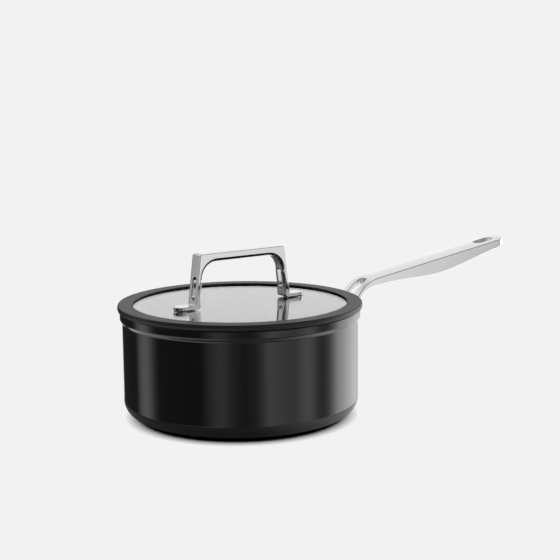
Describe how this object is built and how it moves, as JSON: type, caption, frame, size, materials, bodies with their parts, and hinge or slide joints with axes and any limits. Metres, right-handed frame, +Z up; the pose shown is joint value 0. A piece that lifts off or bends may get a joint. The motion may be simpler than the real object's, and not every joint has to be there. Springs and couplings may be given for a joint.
{
  "type": "saucepan with glass lid",
  "caption": "Black saucepan with a flat glass lid in a silicone rim, a bridge-shaped lid handle and a long cast steel handle with a hanging slot.",
  "frame": {"origin": "middle of the underside of the base plate, on the surface the pan stands on", "axes": "+Z up along the pan's axis, +X along the long handle towards its tip"},
  "size_m": [0.3737, 0.1906, 0.1309],
  "materials": {
    "black_coating": "satin black coating on aluminium",
    "base_steel": "brushed",
    "polished_steel": "polished stainless steel",
    "lid_glass": "clear polished",
    "silicone": "matte",
    "dark_rubber": "matte"
  },
  "bodies": {
    "pan": {"pot_body": "black_coating", "base_plate": "base_steel", "long_handle": "polished_steel", "handle_stud_1": "polished_steel", "handle_stud_2": "polished_steel"},
    "lid": {"lid_glass": "lid_glass", "lid_rim_seal": "silicone", "lid_handle": "polished_steel", "foot_gasket_left": "dark_rubber", "foot_gasket_right": "dark_rubber", "glass_bush_left": "dark_rubber", "glass_bush_right": "dark_rubber", "lid_washer_left": "polished_steel", "lid_washer_right": "polished_steel", "lid_screw_left": "polished_steel", "lid_screw_right": "polished_steel"}
  },
  "joints": [
    {"name": "lid_lift", "type": "slide", "parent": "pan", "child": "lid", "axis": [0, 0, 1], "range_m": [0, 0.16]}
  ]
}
